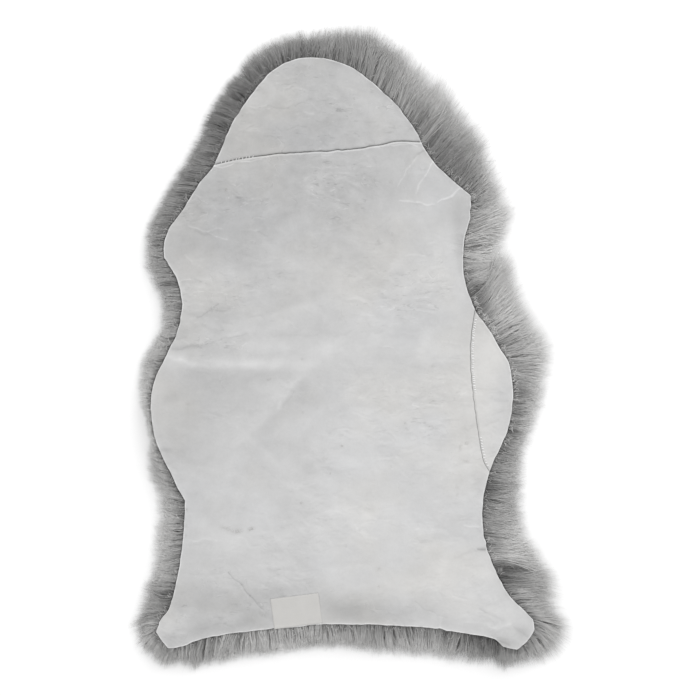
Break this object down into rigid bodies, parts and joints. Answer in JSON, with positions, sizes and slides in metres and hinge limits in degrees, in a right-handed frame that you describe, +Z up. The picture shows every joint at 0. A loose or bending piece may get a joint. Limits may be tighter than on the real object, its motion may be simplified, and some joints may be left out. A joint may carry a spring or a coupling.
{
  "type": "sheepskin rug",
  "caption": "Single sheepskin rug lying wool side down, pale flesh side up, with a rounded head, waisted sides, flared feet and a shaggy grey rim.",
  "frame": {"origin": "under the middle of the rug's footprint, on the floor", "axes": "+Y along the rug towards the rounded head, +X to the side that holds the crescent patch when the skin is seen flesh side up, +Z up out of the floor"},
  "size_m": [0.645, 0.9582, 0.0435],
  "materials": {
    "flesh_side": "matt suede of tanned sheepskin, pale grey, faintly mottled",
    "label": "smooth blank off-white label",
    "wool": "long grey wool combed into locks, darker at the roots"
  },
  "bodies": {
    "root": {"hide_main": "flesh_side", "hide_head": "flesh_side", "hide_side": "flesh_side", "label": "label", "wool": "wool"}
  },
  "joints": []
}
